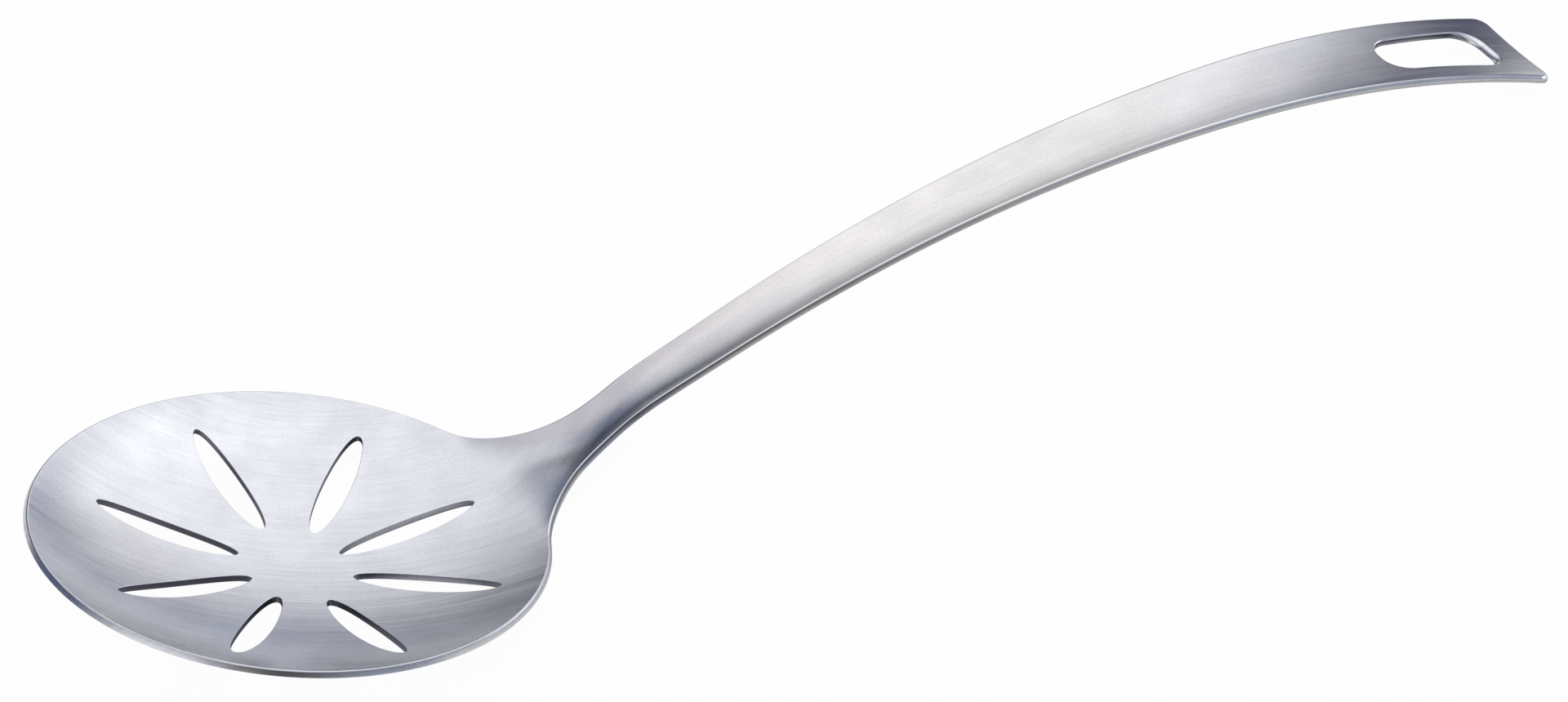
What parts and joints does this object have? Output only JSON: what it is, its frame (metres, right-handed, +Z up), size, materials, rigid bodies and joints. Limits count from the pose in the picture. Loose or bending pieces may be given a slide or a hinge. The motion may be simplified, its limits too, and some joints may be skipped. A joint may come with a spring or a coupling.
{
  "type": "slotted kitchen skimmer",
  "caption": "Slotted steel skimmer: a shallow round bowl with radial drain slots, drawn in at the neck to a long arched handle that flares to a square end with a hanging hole.",
  "frame": {"origin": "middle of the footprint box, on the table that the skimmer lies on", "axes": "+X along the handle, from the bowl to the hanging hole; +Z up from the table; the plane y = 0 is the mirror plane"},
  "size_m": [0.3596, 0.11, 0.0282],
  "materials": {
    "bowl_steel": "satin, brushed in one straight direction",
    "handle_steel": "satin, brushed lengthwise"
  },
  "bodies": {
    "root": {"bowl": "bowl_steel", "handle": "handle_steel"}
  },
  "joints": []
}
